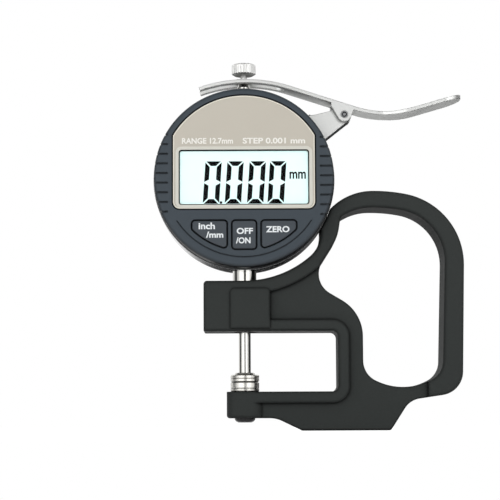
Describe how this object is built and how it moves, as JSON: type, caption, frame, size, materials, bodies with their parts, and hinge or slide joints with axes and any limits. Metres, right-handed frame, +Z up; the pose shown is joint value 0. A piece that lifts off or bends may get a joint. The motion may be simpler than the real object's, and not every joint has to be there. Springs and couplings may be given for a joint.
{
  "type": "digital thickness gauge",
  "caption": "C-frame thickness gauge with a loop handle, a round swivelling digital display, flat measuring discs and a thumb lever that lifts the spindle.",
  "frame": {"origin": "middle of the anvil's measuring face, on the spindle axis", "axes": "+Z up along the spindle, the display faces -Y, +X towards the loop handle"},
  "size_m": [0.1043, 0.0241, 0.1248],
  "materials": {
    "frame_paint": "matte",
    "case_metal": "satin",
    "face_plastic": "satin",
    "panel_champagne": "satin",
    "window_rim": "gloss",
    "window_clear": "gloss",
    "display_glass": "gloss",
    "white_plastic": "matte",
    "black_plastic": "matte",
    "key_plastic": "satin",
    "contact_rubber": "matte",
    "board_green": "satin",
    "scale_board": "satin",
    "polished_steel": "polished",
    "plated_steel": "satin",
    "spring_steel": "satin",
    "black_steel": "satin",
    "bush_bronze": "satin"
  },
  "bodies": {
    "frame": {"frame": "frame_paint", "anvil": "polished_steel", "anvil_screw": "black_steel", "stem_clamp_screw": "black_steel", "clamp_pad": "bush_bronze", "case_shell": "case_metal", "back_cover": "black_plastic", "back_cover_screws": "plated_steel", "battery_cell": "plated_steel", "battery_contact": "spring_steel", "stem": "polished_steel", "lower_bush": "bush_bronze", "upper_bush": "plated_steel", "guide_rod": "polished_steel", "sensor_board": "board_green", "sensor_board_screws": "plated_steel", "slip_ring": "black_plastic", "lever_bracket": "plated_steel", "bracket_screws": "plated_steel", "return_spring": "spring_steel"},
    "spindle": {"spindle": "polished_steel", "contact_point": "polished_steel", "lift_knob": "plated_steel", "scale_carrier": "bush_bronze", "scale_strip": "scale_board"},
    "lever": {"lift_lever": "plated_steel", "lever_pin": "plated_steel"},
    "face": {"bezel": "face_plastic", "bezel_snap_ring": "spring_steel", "face_panel": "panel_champagne", "window_frame": "window_rim", "window_lens": "window_clear", "lcd_glass": "display_glass", "lcd_backlight": "white_plastic", "lcd_contact_strip": "contact_rubber", "display_board": "board_green", "board_screws": "plated_steel", "switch_domes": "spring_steel"},
    "unit_key": {"unit_button": "key_plastic"},
    "power_key": {"power_button": "key_plastic"},
    "zero_key": {"zero_button": "key_plastic"},
    "battery_cap": {"battery_cover": "black_plastic"}
  },
  "joints": [
    {"name": "lever_press", "type": "hinge", "parent": "frame", "child": "lever", "pos_m": [0.0341, 0, 0.09033], "axis": [0, 1, 0], "range_deg": [0, 19.69]},
    {"name": "spindle_slide", "type": "slide", "parent": "frame", "child": "spindle", "axis": [0, 0, 1], "range_m": [0, 0.0127], "stiffness_N_per_m": 25, "springref_m": -0.01, "deforming": ["return_spring"]},
    {"name": "face_swivel", "type": "hinge", "parent": "frame", "child": "face", "pos_m": [0, -0.012, 0.0676], "axis": [0, 1, 0], "range_deg": [-135, 135]},
    {"name": "unit_press", "type": "slide", "parent": "face", "child": "unit_key", "axis": [0, 1, 0], "range_m": [0, 0.00035], "stiffness_N_per_m": 1500},
    {"name": "power_press", "type": "slide", "parent": "face", "child": "power_key", "axis": [0, 1, 0], "range_m": [0, 0.00035], "stiffness_N_per_m": 1500},
    {"name": "zero_press", "type": "slide", "parent": "face", "child": "zero_key", "axis": [0, 1, 0], "range_m": [0, 0.00035], "stiffness_N_per_m": 1500},
    {"name": "battery_cap_turn", "type": "hinge", "parent": "frame", "child": "battery_cap", "pos_m": [0.0152, 0.008, 0.0676], "axis": [0, 1, 0], "range_deg": [0, 60]}
  ],
  "couplings": [
    {"joint": "lever_press", "follows": "spindle_slide", "rad_per_m": 27.059}
  ]
}
